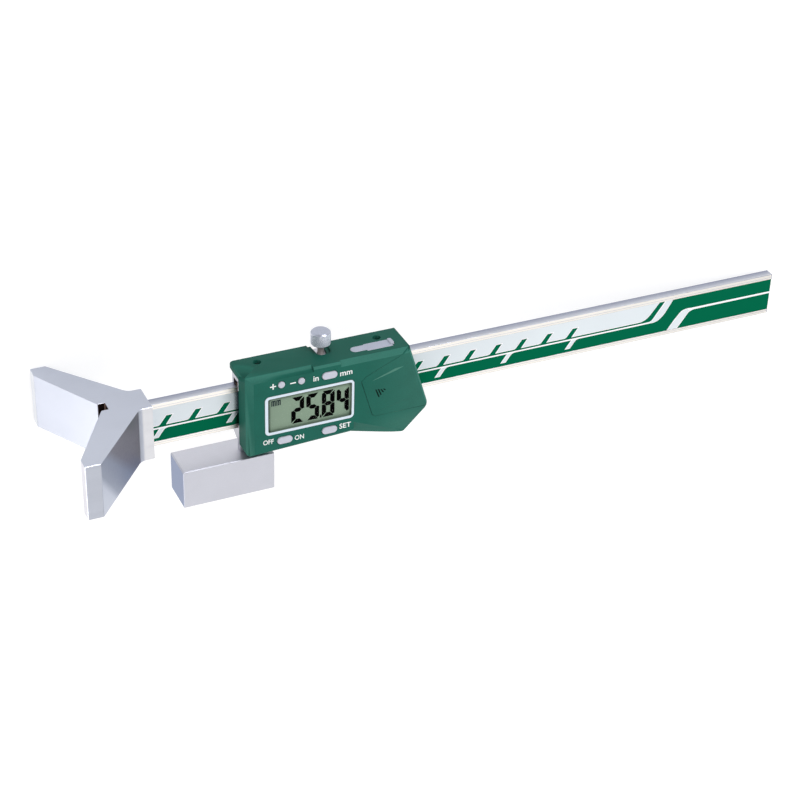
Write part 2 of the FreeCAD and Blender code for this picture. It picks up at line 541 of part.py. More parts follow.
# ---------------------------------------------------------------- lay it down
ax, az = TIP_X, JAW_ZC - TIP_HALF
bx, bz_ = BEAM_X1, -BEAM_T
TILT = math.degrees(math.atan2(bz_ - az, bx - ax))
rot = FreeCAD.Placement(V(0, 0, 0), FreeCAD.Rotation(V(0, 1, 0), TILT))
lo = V(1e9, 1e9, 1e9)
hi = V(-1e9, -1e9, -1e9)
for s in nodes.values():
    for v in s.Vertexes:
        p = rot.multVec(v.Point)
        lo = V(min(lo.x, p.x), min(lo.y, p.y), min(lo.z, p.z))
        hi = V(max(hi.x, p.x), max(hi.y, p.y), max(hi.z, p.z))
shift = V(-(lo.x + hi.x) / 2, -(lo.y + hi.y) / 2, -lo.z)
place = FreeCAD.Placement(shift, FreeCAD.Rotation(V(0, 1, 0), TILT))
print("tilt", TILT, "shift", shift, "size", hi - lo)

for name, s in nodes.items():
    s = s.copy()
    s.Placement = place.multiply(s.Placement)
    ok = all(x.isValid() and x.isClosed() for x in s.Solids)
    vol = sum(x.Volume for x in s.Solids)
    print(f"{name:16s} solids {len(s.Solids)} valid {ok} volume {vol:9.2f}")
    s.exportStep(f"parts/{name}.step")
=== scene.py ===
import json
import math

import bmesh
import bpy
from mathutils import Matrix, Vector
from mathutils.bvhtree import BVHTree
from mathutils.geometry import tessellate_polygon
from mathutils.kdtree import KDTree

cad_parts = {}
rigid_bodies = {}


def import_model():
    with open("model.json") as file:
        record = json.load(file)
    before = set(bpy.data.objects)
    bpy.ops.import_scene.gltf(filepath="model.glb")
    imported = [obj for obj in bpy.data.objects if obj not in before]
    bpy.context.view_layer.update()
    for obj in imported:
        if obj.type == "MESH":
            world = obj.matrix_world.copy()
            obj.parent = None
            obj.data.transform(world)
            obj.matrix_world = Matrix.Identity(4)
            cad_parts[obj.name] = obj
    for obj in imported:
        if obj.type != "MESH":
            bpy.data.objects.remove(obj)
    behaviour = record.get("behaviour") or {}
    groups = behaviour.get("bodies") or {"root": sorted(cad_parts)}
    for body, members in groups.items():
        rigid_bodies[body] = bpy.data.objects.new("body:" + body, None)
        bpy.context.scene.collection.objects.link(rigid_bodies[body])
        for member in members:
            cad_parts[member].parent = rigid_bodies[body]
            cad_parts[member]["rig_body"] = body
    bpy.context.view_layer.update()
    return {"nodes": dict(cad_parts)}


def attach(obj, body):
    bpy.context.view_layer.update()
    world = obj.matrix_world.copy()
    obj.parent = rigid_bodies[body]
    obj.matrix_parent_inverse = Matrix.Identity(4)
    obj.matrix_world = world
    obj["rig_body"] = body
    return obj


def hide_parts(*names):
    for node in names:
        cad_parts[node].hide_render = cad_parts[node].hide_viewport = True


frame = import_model()
nodes = frame["nodes"]

# ------------------------------------------------------------------ the caliper's own frame
# X along the beam, Y across it, Z out of the display side, in millimetres
MM = 0.001
TILT = math.radians(6.358127690660682)
SHIFT = Vector((-101.60212683885064, 12.98, 29.846296230701977)) * MM
PLACE = Matrix.Translation(SHIFT) @ Matrix.Rotation(TILT, 4, "Y")
BACK = PLACE.inverted()


def row(x, y, z):
    return PLACE @ Vector((x * MM, y * MM, z * MM))


def own(p):
    """A point of the row frame, in the caliper's own millimetres."""
    return (BACK @ p) / MM


# ------------------------------------------------------------------ camera
cam = bpy.data.cameras.new("camera")
cam.sensor_width = 36.0
cam.lens = 91.3406
cam.clip_start, cam.clip_end = 0.05, 20.0
camera = bpy.data.objects.new("camera", cam)
bpy.context.scene.collection.objects.link(camera)
right = Vector((0.91151278, 0.02627454, 0.41043159))
up = Vector((0.20011917, 0.84351252, -0.4984365))
back = Vector((-0.35930038, 0.53646647, 0.76361441))
turn = PLACE.to_3x3()
cols = [turn @ v for v in (right, up, back)]
eye = row(-161.08, 355.14, 532.70)
camera.matrix_world = Matrix((
    (cols[0].x, cols[1].x, cols[2].x, eye.x),
    (cols[0].y, cols[1].y, cols[2].y, eye.y),
    (cols[0].z, cols[1].z, cols[2].z, eye.z),
    (0, 0, 0, 1),
))
bpy.context.scene.camera = camera


# ------------------------------------------------------------------ materials
def lin(r, g, b):
    """Linear colour from an 8 bit display colour."""
    def f(v):
        v /= 255.0
        return v / 12.92 if v <= 0.04045 else ((v + 0.055) / 1.055) ** 2.4
    return (f(r), f(g), f(b), 1.0)


def scaled(c, k):
    return (min(c[0] * k, 1), min(c[1] * k, 1), min(c[2] * k, 1), 1.0)


class Mat:
    """A small builder for node materials."""

    def __init__(self, name):
        self.m = bpy.data.materials.new(name)
        self.m.use_nodes = True
        self.t = self.m.node_tree
        self.b = self.t.nodes["Principled BSDF"]
        self.co = self.t.nodes.new("ShaderNodeTexCoord").outputs["Object"]

    def node(self, kind, **sets):
        n = self.t.nodes.new(kind)
        for k, v in sets.items():
            setattr(n, k, v)
        return n

    def put(self, socket, value):
        self.b.inputs[socket].default_value = value

    def link(self, a, b):
        self.t.links.new(a, b)

    def spread(self, scale=(1, 1, 1), turned=True):
        """Object coordinates turned into the caliper's own directions and scaled."""
        n = self.node("ShaderNodeMapping", vector_type="POINT")
        n.inputs["Scale"].default_value = scale
        if turned:
            r = self.node("ShaderNodeMapping", vector_type="POINT")
            r.inputs["Rotation"].default_value = (0, -TILT, 0)
            self.link(self.co, r.inputs["Vector"])
            self.link(r.outputs[0], n.inputs["Vector"])
        else:
            self.link(self.co, n.inputs["Vector"])
        return n.outputs[0]

    def noise(self, vector, scale, detail=3.0, rough=0.55):
        n = self.node("ShaderNodeTexNoise")
        n.inputs["Scale"].default_value = scale
        n.inputs["Detail"].default_value = detail
        n.inputs["Roughness"].default_value = rough
        self.link(vector, n.inputs["Vector"])
        return n.outputs["Fac"]

    def ramp(self, fac, stops, mode="LINEAR"):
        n = self.node("ShaderNodeValToRGB")
        n.color_ramp.interpolation = mode
        els = n.color_ramp.elements
        while len(els) < len(stops):
            els.new(0.5)
        for e, (at, c) in zip(els, stops):
            e.position = at
            e.color = c if len(c) == 4 else (*c, 1)
        self.link(fac, n.inputs["Fac"])
        return n.outputs["Color"]

    def grey(self, fac, lo, hi, a=0.3, b=0.7):
        n = self.node("ShaderNodeMapRange")
        n.inputs["From Min"].default_value = a
        n.inputs["From Max"].default_value = b
        n.inputs["To Min"].default_value = lo
        n.inputs["To Max"].default_value = hi
        self.link(fac, n.inputs["Value"])
        return n.outputs["Result"]

    def mix(self, fac, a, b, blend="MIX"):
        n = self.node("ShaderNodeMix", data_type="RGBA", blend_type=blend)
        if isinstance(fac, (int, float)):
            n.inputs["Factor"].default_value = fac
        else:
            self.link(fac, n.inputs["Factor"])
        for s, v in (("A", a), ("B", b)):
            sock = [i for i in n.inputs if i.name == s and i.type == "RGBA"][0]
            if isinstance(v, tuple):
                sock.default_value = v
            else:
                self.link(v, sock)
        return [o for o in n.outputs if o.type == "RGBA"][0]

    def bump(self, height, strength, distance, chain=None):
        n = self.node("ShaderNodeBump")
        n.inputs["Strength"].default_value = strength
        n.inputs["Distance"].default_value = distance
        self.link(height, n.inputs["Height"])
        if chain is not None:
            self.link(chain, n.inputs["Normal"])
        return n.outputs["Normal"]

    def colour(self, out):
        self.link(out, self.b.inputs["Base Color"])

    def rough(self, out):
        self.link(out, self.b.inputs["Roughness"])

    def normal(self, out):
        self.link(out, self.b.inputs["Normal"])

    def place(self, axis):
        """A coordinate in the caliper's own frame, in metres."""
        a = self.node("ShaderNodeVectorMath", operation="SUBTRACT")
        a.inputs[1].default_value = SHIFT
        r = self.node("ShaderNodeMapping", vector_type="POINT")
        r.inputs["Rotation"].default_value = (0, -TILT, 0)
        x = self.node("ShaderNodeSeparateXYZ")
        self.link(self.co, a.inputs[0])
        self.link(a.outputs[0], r.inputs["Vector"])
        self.link(r.outputs[0], x.inputs[0])
        return x.outputs[axis]

    def facing(self, direction, lo, hi):
        """0 to 1 as the surface turns to a direction of the caliper's own frame."""
        g = self.node("ShaderNodeNewGeometry")
        d = self.node("ShaderNodeVectorMath", operation="DOT_PRODUCT")
        d.inputs[1].default_value = PLACE.to_3x3() @ Vector(direction).normalized()
        self.link(g.outputs["Normal"], d.inputs[0])
        return self.grey(d.outputs["Value"], 0.0, 1.0, lo, hi)

    def sum(self, a, b, operation="MULTIPLY"):
        n = self.node("ShaderNodeMath", operation=operation)
        self.link(a, n.inputs[0])
        self.link(b, n.inputs[1])
        return n.outputs[0]

    def tint(self, mask, c):
        """The colour multiplied by c where the mask is 1."""
        old = self.b.inputs["Base Color"].links[0].from_socket
        self.colour(self.mix(mask, old, (c[0], c[1], c[2], 1.0), "MULTIPLY"))

    def slant(self, x, k, y):
        """x * k + y of two coordinates."""
        n = self.node("ShaderNodeMath", operation="MULTIPLY_ADD")
        self.link(x, n.inputs[0])
        n.inputs[1].default_value = k
        self.link(y, n.inputs[2])
        return n.outputs[0]

    def paint_hollow_shade(self, distance, lo, hi, c, mask=None):
        """Painted shade: seams, inner corners and surfaces beside taller parts darkened by an ambient-occlusion node.
        """
        n = self.node("ShaderNodeAmbientOcclusion", samples=8)
        n.inputs["Distance"].default_value = distance
        dark = self.grey(n.outputs["AO"], 1.0, 0.0, lo, hi)
        self.tint(dark if mask is None else self.sum(dark, mask), c)


def moulded(name, c, dark=0.88, light=1.1, rough=(0.42, 0.56), grain=2600.0, bump=0.22, specular=0.12):
    """Moulded plastic with a fine spark-eroded grain."""
    m = Mat(name)
    v = m.spread((1, 1, 1))
    cloud = m.noise(v, 90.0, 2.0)
    fine = m.noise(v, grain, 2.0, 0.6)
    base = m.ramp(cloud, [(0.3, scaled(c, dark)), (0.7, scaled(c, light))])
    spot = m.ramp(fine, [(0.35, scaled(c, dark * 0.97)), (0.65, scaled(c, light * 1.03))])
    m.colour(m.mix(0.45, base, spot))
    m.rough(m.grey(fine, rough[0], rough[1]))
    m.normal(m.bump(fine, bump, 0.00004))
    m.put("Specular IOR Level", specular)
    return m


def ground(name, c, along="X", rough=(0.26, 0.4), lines=0.16, metallic=1.0, tint=0.08, cross=9000.0, spec=None):
    """Ground steel: fine scratches one way, soft clouds of brightness."""
    m = Mat(name)
    stretch = {"X": (0.02, 1, 1), "Y": (1, 0.02, 1), "Z": (1, 1, 0.02)}[along]
    v = m.spread(stretch)
    w = m.spread((1, 1, 1))
    hair = m.noise(v, cross, 2.0, 0.7)
    broad = m.noise(v, cross * 0.13, 3.0, 0.6)
    cloud = m.noise(w, 60.0, 3.0)
    a = m.ramp(hair, [(0.3, scaled(c, 1 - lines)), (0.7, scaled(c, 1 + lines * 0.6))])
    b = m.ramp(broad, [(0.3, scaled(c, 1 - lines * 0.7)), (0.7, scaled(c, 1 + lines * 0.5))])
    d = m.ramp(cloud, [(0.3, scaled(c, 1 - tint)), (0.7, scaled(c, 1 + tint * 0.6))])
    m.colour(m.mix(0.4, m.mix(0.5, a, b), d))
    m.rough(m.grey(broad, rough[0], rough[1]))
    m.normal(m.bump(hair, 0.12, 0.00002))
    m.put("Metallic", metallic)
    return m


def blasted(name, c, rough=(0.4, 0.52), metallic=1.0, grain=5200.0, amount=0.1):
    """Fine blasted or satin steel."""
    m = Mat(name)
    w = m.spread((1, 1, 1))
    fine = m.noise(w, grain, 3.0, 0.7)
    cloud = m.noise(w, 110.0, 3.0)
    a = m.ramp(fine, [(0.3, scaled(c, 1 - amount)), (0.7, scaled(c, 1 + amount))])
    b = m.ramp(cloud, [(0.3, scaled(c, 0.95)), (0.7, scaled(c, 1.03))])
    m.colour(m.mix(0.5, a, b))
    m.rough(m.grey(fine, rough[0], rough[1]))
    m.normal(m.bump(fine, 0.2, 0.00002))
    m.put("Metallic", metallic)
    return m


def printed(name, c, dots=4200.0, amount=0.05, rough=(0.3, 0.42), specular=0.35):
    """Printed film or ink, with the slight unevenness of a screen print."""
    m = Mat(name)
    w = m.spread((1, 1, 1))
    fine = m.noise(w, dots, 2.0, 0.6)
    cloud = m.noise(w, 45.0, 2.0)
    a = m.ramp(fine, [(0.3, scaled(c, 1 - amount)), (0.7, scaled(c, 1 + amount))])
    b = m.ramp(cloud, [(0.3, scaled(c, 0.97)), (0.7, scaled(c, 1.03))])
    m.colour(m.mix(0.5, a, b))
    m.rough(m.grey(fine, rough[0], rough[1]))
    m.normal(m.bump(fine, 0.06, 0.00001))
    m.put("Specular IOR Level", specular)
    return m


GREEN = lin(24, 92, 79)
mats = {}
mats["green_plastic"] = moulded("green_plastic", GREEN, rough=(0.5, 0.64))
gm = mats["green_plastic"]
# painted shade: faces of the housing and door turned to the top (+Y) are darker
gm.tint(gm.facing((0, 1, 0), 0.95, 0.99), (0.6, 0.72, 0.72))
# painted highlight: rounded and bevelled edges, with normals 0.6 to 0.8 toward +Z, are lighter
edge_lo = gm.facing((0, 0, 1), 0.42, 0.6)
edge_hi = gm.facing((0, 0, -1), -0.9, -0.8)
gm.tint(gm.sum(edge_lo, edge_hi), (3.0, 1.38, 1.45))
# painted light: front faces grow lighter toward the housing's right end, X 72 to 91 mm
far_right = gm.grey(gm.place("X"), 0.0, 1.0, 0.072, 0.091)
gm.tint(gm.sum(far_right, gm.facing((0, 0, 1), 0.9, 0.97)), (2.6, 1.2, 1.25))
# painted light: the lower right of the front, beyond X 70 mm and below Y -17.5 mm, is lighter
low_right = gm.sum(gm.grey(gm.place("X"), 0.0, 1.0, 0.070, 0.076), gm.grey(gm.place("Y"), 1.0, 0.0, -0.0215, -0.0175))
gm.tint(gm.sum(low_right, gm.facing((0, 0, 1), 0.9, 0.97)), (1.5, 1.1, 1.12))
# painted highlight: the upper wall of the battery door's thumb pad is lighter
pad_wall = gm.sum(gm.facing((-0.3, 0.85, 0.45), 0.6, 0.8), gm.grey(gm.place("Y"), 1.0, 0.0, 0.003, 0.004))
gm.tint(gm.sum(pad_wall, gm.grey(gm.place("X"), 0.0, 1.0, 0.0745, 0.0755)), (3.6, 1.6, 1.65))
# painted shade: seams, inner corners and hollows of the housing and door darkened
gm.paint_hollow_shade(0.0007, 0.35, 0.85, (0.3, 0.42, 0.4))
mats["port_plastic"] = moulded("port_plastic", lin(178, 182, 196), rough=(0.35, 0.5), specular=0.4)
pm = mats["port_plastic"]
# painted shade: the cover's faces turned to the top (+Y) are darker
pm.tint(pm.facing((0, 1, 0), 0.93, 0.98), (0.72, 0.74, 0.78))
mats["bezel_plastic"] = moulded("bezel_plastic", lin(208, 220, 232), dark=0.95, light=1.04, rough=(0.28, 0.4), bump=0.1, specular=0.4)
wm = mats["bezel_plastic"]
# painted shade: the bezel's walls, all faces turned away from +Z, are dark olive as if in shadow
wm.tint(wm.facing((0, 0, -1), -0.7, -0.3), (0.22, 0.27, 0.2))
mats["button_plastic"] = moulded("button_plastic", lin(186, 189, 202), dark=0.94, light=1.05, rough=(0.3, 0.42), bump=0.12, specular=0.4)
mats["inner_plastic"] = moulded("inner_plastic", lin(190, 192, 190), rough=(0.4, 0.5))
mats["black_plastic"] = moulded("black_plastic", lin(22, 22, 24), rough=(0.4, 0.55))
mats["rubber"] = moulded("rubber", lin(70, 70, 76), rough=(0.7, 0.85), specular=0.15)
mats["beam_steel"] = ground("beam_steel", lin(168, 172, 186), "X", rough=(0.24, 0.36))
sm = mats["beam_steel"]
# painted shade and painted highlight: the beam's top side (+Y) is darker toward its back, below Z -1.6 mm, and lighter
# toward its front edge
side = sm.facing((0, 1, 0), 0.93, 0.98)
sm.tint(sm.sum(side, sm.grey(sm.place("Z"), 1.0, 0.0, -0.0034, -0.0016)), (0.66, 0.68, 0.74))
sm.tint(sm.sum(side, sm.grey(sm.place("Z"), 0.0, 1.0, -0.0016, -0.0004)), (1.35, 1.33, 1.22))
mats["land_steel"] = ground("land_steel", lin(222, 219, 214), "X", rough=(0.3, 0.42), lines=0.05)
lm = mats["land_steel"]
# painted shadow: the lands darken reddish next to taller parts, past X 6 to 10 mm, beside the slider
lm.paint_hollow_shade(0.0025, 0.7, 0.83, (0.25, 0.18, 0.18), lm.grey(lm.place("X"), 0.0, 1.0, 0.006, 0.01))
mats["frame_steel"] = ground("frame_steel", lin(190, 191, 198), "X", rough=(0.28, 0.4))
mats["jaw_steel"] = ground("jaw_steel", lin(182, 187, 200), "X", rough=(0.3, 0.4), lines=0.06)
jm = mats["jaw_steel"]
xs, zs = jm.place("X"), jm.place("Z")
# painted reflection: the front arm's outer face is darker, with a dark diagonal band and a light band across it
outer = jm.facing((0.78, 0, 0.63), 0.96, 0.985)
ys = jm.place("Y")
jm.tint(outer, (0.66, 0.685, 0.73))
jm.tint(jm.sum(outer, jm.grey(jm.slant(xs, 1.51, ys), 0.0, 1.0, -0.0325, -0.0280)), (0.8, 0.71, 0.67))
jm.tint(jm.sum(outer, jm.grey(jm.slant(xs, 1.9, ys), 1.0, 0.0, -0.0535, -0.0494)), (1.6, 1.55, 1.46))
# painted light and shade: faces turned to +Z are lighter below Z 24 mm and darker beyond Z 26 mm
ends = jm.facing((0, 0, 1), 0.96, 0.985)
jm.tint(jm.sum(ends, jm.grey(zs, 0.0, 1.0, 0.024, 0.026)), (0.8, 0.8, 0.79))
jm.tint(jm.sum(ends, jm.grey(zs, 1.0, 0.0, 0.024, 0.026)), (1.15, 1.1, 1.0))
# painted highlight: faces turned to -X are lighter at the arms, below Z -20 mm and beyond Z 20 mm
jm.tint(jm.sum(jm.facing((-1, 0, 0), 0.96, 0.985), jm.grey(zs, 1.0, 0.0, -0.022, -0.02)), (1.65, 1.6, 1.45))
jm.tint(jm.sum(jm.facing((-1, 0, 0), 0.96, 0.985), jm.grey(zs, 0.0, 1.0, 0.02, 0.022)), (1.5, 1.4, 1.3))
# painted shade: the relief slot at the V's apex is dark brown
mid = jm.node("ShaderNodeMath", operation="ADD")
mid.inputs[1].default_value = 0.0018
jm.link(zs, mid.inputs[0])
wide = jm.node("ShaderNodeMath", operation="ABSOLUTE")
jm.link(mid.outputs[0], wide.inputs[0])
slot_mask = jm.sum(jm.grey(xs, 1.0, 0.0, -0.01338, -0.01330), jm.grey(wide.outputs[0], 1.0, 0.0, 0.00203, 0.00212))
old = jm.b.inputs["Base Color"].links[0].from_socket
jm.colour(jm.mix(slot_mask, old, lin(74, 60, 56)))
mats["block_steel"] = blasted("block_steel", lin(188, 190, 199), rough=(0.4, 0.5))
bm_ = mats["block_steel"]
# painted light and shade: the block's left face is darker and bluer, its top lighter, its 45 degree chamfers darker
bm_.tint(bm_.facing((-1, 0, 0), 0.9, 0.97), (0.5, 0.58, 0.76))
bm_.tint(bm_.facing((0, 1, 0), 0.9, 0.97), (1.2, 1.18, 1.16))
bm_.tint(bm_.facing((0, 0.7, 0.7), 0.9, 0.96), (0.72, 0.72, 0.74))
bm_.tint(bm_.facing((-0.7, 0, 0.7), 0.9, 0.96), (0.6, 0.62, 0.66))
mats["pin_steel"] = ground("pin_steel", lin(196, 198, 204), "X", rough=(0.25, 0.35))
mats["knurl_steel"] = blasted("knurl_steel", lin(170, 175, 190), rough=(0.26, 0.4), grain=3200.0, amount=0.16)
mats["dark_steel"] = blasted("dark_steel", lin(58, 58, 62), rough=(0.35, 0.5))
mats["spring_steel"] = blasted("spring_steel", lin(200, 200, 196), rough=(0.2, 0.3))
mats["bronze"] = ground("bronze", lin(196, 152, 98), "X")
mats["cell_steel"] = blasted("cell_steel", lin(158, 160, 166), rough=(0.18, 0.3))
mats["laminate"] = printed("laminate", lin(28, 92, 52))
mats["film_field"] = printed("film_field", lin(214, 222, 227))
mats["film_white"] = printed("film_white", lin(244, 244, 247), amount=0.02)
mats["film_green"] = printed("film_green", lin(0, 98, 68), amount=0.08, rough=(0.45, 0.55), specular=0.01)
# painted shadow: the label darkens to dark teal next to taller parts, past X 6 to 10 mm, where the slider stands over
# it
for k in ("film_field", "film_white", "film_green"):
    mats[k].paint_hollow_shade(0.0025, 0.72, 0.83, (0.03, 0.06, 0.07), mats[k].grey(mats[k].place("X"), 0.0, 1.0, 0.006, 0.01))
mats["ink_white"] = printed("ink_white", lin(238, 240, 240), amount=0.03, rough=(0.4, 0.5))
mats["lcd_ink"] = printed("lcd_ink", lin(5, 4, 5), amount=0.1, rough=(0.5, 0.6), specular=0.0)
mats["lcd_faint"] = printed("lcd_faint", lin(34, 44, 52), amount=0.1, rough=(0.4, 0.5), specular=0.05)
# painted shade for the arrow's grooves on the battery door
mats["groove_shade"] = moulded("groove_shade", lin(4, 40, 32), rough=(0.55, 0.7))
# painted highlight: the knurled band gets this brighter, less metallic copy of the screw's steel; its mottling by
# noise is random tone
mats["knurl_lit"] = blasted("knurl_lit", lin(232, 236, 250), rough=(0.3, 0.45), metallic=0.8, grain=2600.0, amount=0.3)
km = mats["knurl_lit"]
km.tint(km.grey(km.noise(km.spread((1, 0.6, 1)), 2400.0, 2.0, 0.6), 0.0, 1.0, 0.42, 0.6), (0.74, 0.76, 0.82))
# painted reflection: the neck's steel is a pinkish, barely metallic copy whose tone stands in for what it reflects
mats["neck_steel"] = blasted("neck_steel", lin(182, 172, 172), rough=(0.3, 0.45), metallic=0.2)


def lcd_face():
    m = Mat("lcd_face")
    w = m.spread((1, 1, 1))
    fine = m.noise(w, 5000.0, 2.0, 0.6)
    cloud = m.noise(w, 120.0, 2.0)
    c = lin(136, 152, 137)
    a = m.ramp(fine, [(0.3, scaled(c, 0.93)), (0.7, scaled(c, 1.06))])
    b = m.ramp(cloud, [(0.3, scaled(c, 0.95)), (0.7, scaled(c, 1.04))])
    m.colour(m.mix(0.5, a, b))
    m.rough(m.grey(fine, 0.3, 0.4))
    m.put("Specular IOR Level", 0.3)
    return m


def clear_face():
    m = Mat("clear_pane")
    t = m.t
    out = t.nodes["Material Output"]
    t.nodes.remove(m.b)
    see = m.node("ShaderNodeBsdfTransparent")
    see.inputs["Color"].default_value = (0.95, 0.975, 0.955, 1)
    gloss = m.node("ShaderNodeBsdfGlossy")
    gloss.inputs["Color"].default_value = (1, 1, 1, 1)
    fine = m.noise(m.spread((1, 1, 1)), 300.0, 2.0)
    m.link(m.grey(fine, 0.05, 0.09), gloss.inputs["Roughness"])
    fr = m.node("ShaderNodeFresnel")
    fr.inputs["IOR"].default_value = 1.4
    half = m.node("ShaderNodeMath", operation="MULTIPLY")
    half.inputs[1].default_value = 0.01
    m.link(fr.outputs[0], half.inputs[0])
    mix = m.node("ShaderNodeMixShader")
    m.link(half.outputs[0], mix.inputs[0])
    m.link(see.outputs[0], mix.inputs[1])
    m.link(gloss.outputs[0], mix.inputs[2])
    m.link(mix.outputs[0], out.inputs["Surface"])
    return m


mats["lcd_face"] = lcd_face()
fm = mats["lcd_face"]
# painted shadow of the bezel along the display's left and top edges
fm.tint(fm.grey(fm.place("X"), 1.0, 0.0, 0.0383, 0.0391), (0.14, 0.18, 0.16))
fm.tint(fm.grey(fm.place("Y"), 0.0, 1.0, -0.0032, -0.0018), (0.3, 0.36, 0.34))
mats["clear_pane"] = clear_face()


def wear(obj, *names):
    obj.data.materials.clear()
    for n in names:
        obj.data.materials.append(mats[n].m)


CARRIED = {
    "beam": "beam_steel", "scale_strip": "laminate", "scale_label": "film_field", "v_jaw": "jaw_steel",
    "jaw_pins": "pin_steel", "slider_frame": "frame_steel", "jaw_block": "block_steel", "block_screws": "dark_steel",
    "gib_strip": "bronze", "gib_screws": "dark_steel", "housing_screws": "dark_steel", "lcd_window": "clear_pane",
    "lcd_panel": "lcd_face", "lcd_holder": "inner_plastic", "lcd_connectors": "rubber", "circuit_board": "laminate",
    "board_chip": "black_plastic", "key_domes": "spring_steel", "button_plus": "button_plastic",
    "button_minus": "button_plastic", "button_unit": "button_plastic", "button_power": "button_plastic",
    "button_set": "button_plastic", "battery_cell": "cell_steel", "battery_spring": "spring_steel",
    "battery_clip": "spring_steel", "data_port": "black_plastic", "front_housing": "green_plastic",
    "battery_door": "green_plastic", "port_cover": "port_plastic", "lcd_bezel": "bezel_plastic",
    "lock_screw": "knurl_steel",
}
for n, m in CARRIED.items():
    nodes[n].data.materials.clear()
    nodes[n].data.materials.append(mats[m].m)


# ------------------------------------------------------------------ mesh helpers
def new_piece(name, bm, material, body, smooth=False):
    bmesh.ops.recalc_face_normals(bm, faces=bm.faces)
    for f in bm.faces:
        f.smooth = smooth
    me = bpy.data.meshes.new(name)
    bm.to_mesh(me)
    bm.free()
    o = bpy.data.objects.new(name, me)
    bpy.context.scene.collection.objects.link(o)
    me.materials.append(mats[material].m)
    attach(o, body)
    return o


def plate(bm, poly, z0, z1):
    """A closed prism over a polygon, in the caliper's own millimetres."""
    pts = []
    for p in poly:
        if not pts or (Vector(p) - Vector(pts[-1])).length > 1e-4:
            pts.append(tuple(p))
    if (Vector(pts[0]) - Vector(pts[-1])).length < 1e-4:
        pts.pop()
    lo = [bm.verts.new(row(x, y, z0)) for x, y in pts]
    hi = [bm.verts.new(row(x, y, z1)) for x, y in pts]
    for tri in tessellate_polygon([[Vector((x, y, 0)) for x, y in pts]]):
        bm.faces.new([hi[i] for i in tri])
        bm.faces.new([lo[i] for i in reversed(tri)])
    n = len(pts)
    for i in range(n):
        j = (i + 1) % n
        bm.faces.new([lo[i], lo[j], hi[j], hi[i]])


def area(poly):
    return sum(a[0] * b[1] - b[0] * a[1] for a, b in zip(poly, poly[1:] + poly[:1])) / 2


def grown(poly, d, box=None):
    """The polygon moved outwards by d, mitred, held inside box."""
    p = [Vector(a) for a in (poly if area(poly) > 0 else list(reversed(poly)))]
    out = []
    n = len(p)
    for i in range(n):
        a, b, c = p[i - 1], p[i], p[(i + 1) % n]
        u, w = (b - a).normalized(), (c - b).normalized()
        nu, nw = Vector((u.y, -u.x)), Vector((w.y, -w.x))
        k = (nu + nw)
        q = k.length_squared
        m = k * (2 / q) if q > 0.35 else k.normalized() * 1.6
        r = b + m * d
        if box:
            r = Vector((min(max(r.x, box[0]), box[1]), min(max(r.y, box[2]), box[3])))
        out.append((r.x, r.y))
    return out


def soften(node, material, weight, seg=2, angle=28.0):
    """The CAD piece again, its sharp edges eased by the width in mm that weight gives. It stands where the node stands."""
    src = nodes[node]
    bm = bmesh.new()
    bm.from_mesh(src.data)
    bmesh.ops.remove_doubles(bm, verts=bm.verts, dist=1.5e-6)
    bmesh.ops.dissolve_limit(bm, angle_limit=math.radians(0.4), use_dissolve_boundaries=False, verts=bm.verts, edges=bm.edges, delimit=set())
    layer = bm.edges.layers.float.new("bevel_weight_edge")
    for e in bm.edges:
        if len(e.link_faces) == 2 and e.calc_face_angle(0.0) > math.radians(angle):
            a, b = own(e.verts[0].co), own(e.verts[1].co)
            e[layer] = min(weight((a + b) / 2, a, b), (a - b).length * 2.0) if (a - b).length < 0.4 else weight((a + b) / 2, a, b)
    for f in bm.faces:
        f.smooth = True
    me = bpy.data.meshes.new(node + "_eased")
    bm.to_mesh(me)
    o = bpy.data.objects.new(node + "_eased", me)
    bpy.context.scene.collection.objects.link(o)
    me.materials.append(mats[material].m)
    b = o.modifiers.new("edges", "BEVEL")
    b.limit_method = "WEIGHT"
    b.width = 1.0 * MM
    b.segments = seg
    b.use_clamp_overlap = False
    b.loop_slide = False
    w = o.modifiers.new("shading", "WEIGHTED_NORMAL")
    w.keep_sharp = False
    w.weight = 60

    # where an eased edge runs into a thin wall or a seam it is eased less
    solid = BVHTree.FromBMesh(bm)
    tree = KDTree(len(bm.verts))
    for k, v in enumerate(bm.verts):
        tree.insert(v.co, k)
    tree.balance()
    linked = [[e.index for e in v.link_edges] for v in bm.verts]
    weights = me.attributes["bevel_weight_edge"].data
    for turn_no in range(12):
        bpy.context.view_layer.update()
        dg = bpy.context.evaluated_depsgraph_get()
        ev = o.evaluated_get(dg)
        em = ev.to_mesh()
        cos = [v.co.copy() for v in em.vertices]
        far = set()
        for k, c in enumerate(cos):
            hit = solid.find_nearest(c)
            _, idx, _ = tree.find(c)
            most = max([weights[j].value for j in linked[idx]] + [0.0])
            if hit[3] > (0.5 * most + 0.015) * MM:
                far.add(k)
        wrong = set()
        for f in em.polygons:
            vs = list(f.vertices)
            if any(k in far for k in vs):
                wrong.update(k for k in vs if k not in far)
                continue
            if f.area < 1e-10:
                continue
            hit = solid.find_nearest(f.center)
            if hit[1] is not None and hit[1].dot(f.normal) < -0.3:
                near = [solid.find_nearest(f.center + f.normal * s * 2e-5)[1].dot(f.normal) for s in (1, -1)]
                if max(near) < -0.3:
                    wrong.update(vs)
        ev.to_mesh_clear()
        if not wrong:
            break
        hits = set()
        for k in wrong:
            _, idx, d = tree.find(cos[k])
            hits.update(linked[idx])
        changed = 0
        for j in hits:
            if weights[j].value > 0.0:
                weights[j].value = weights[j].value * 0.5 if weights[j].value > 0.03 else 0.0
                changed += 1
        if not changed:
            break
    bm.free()
    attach(o, src["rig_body"])
    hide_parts(node)
    return o


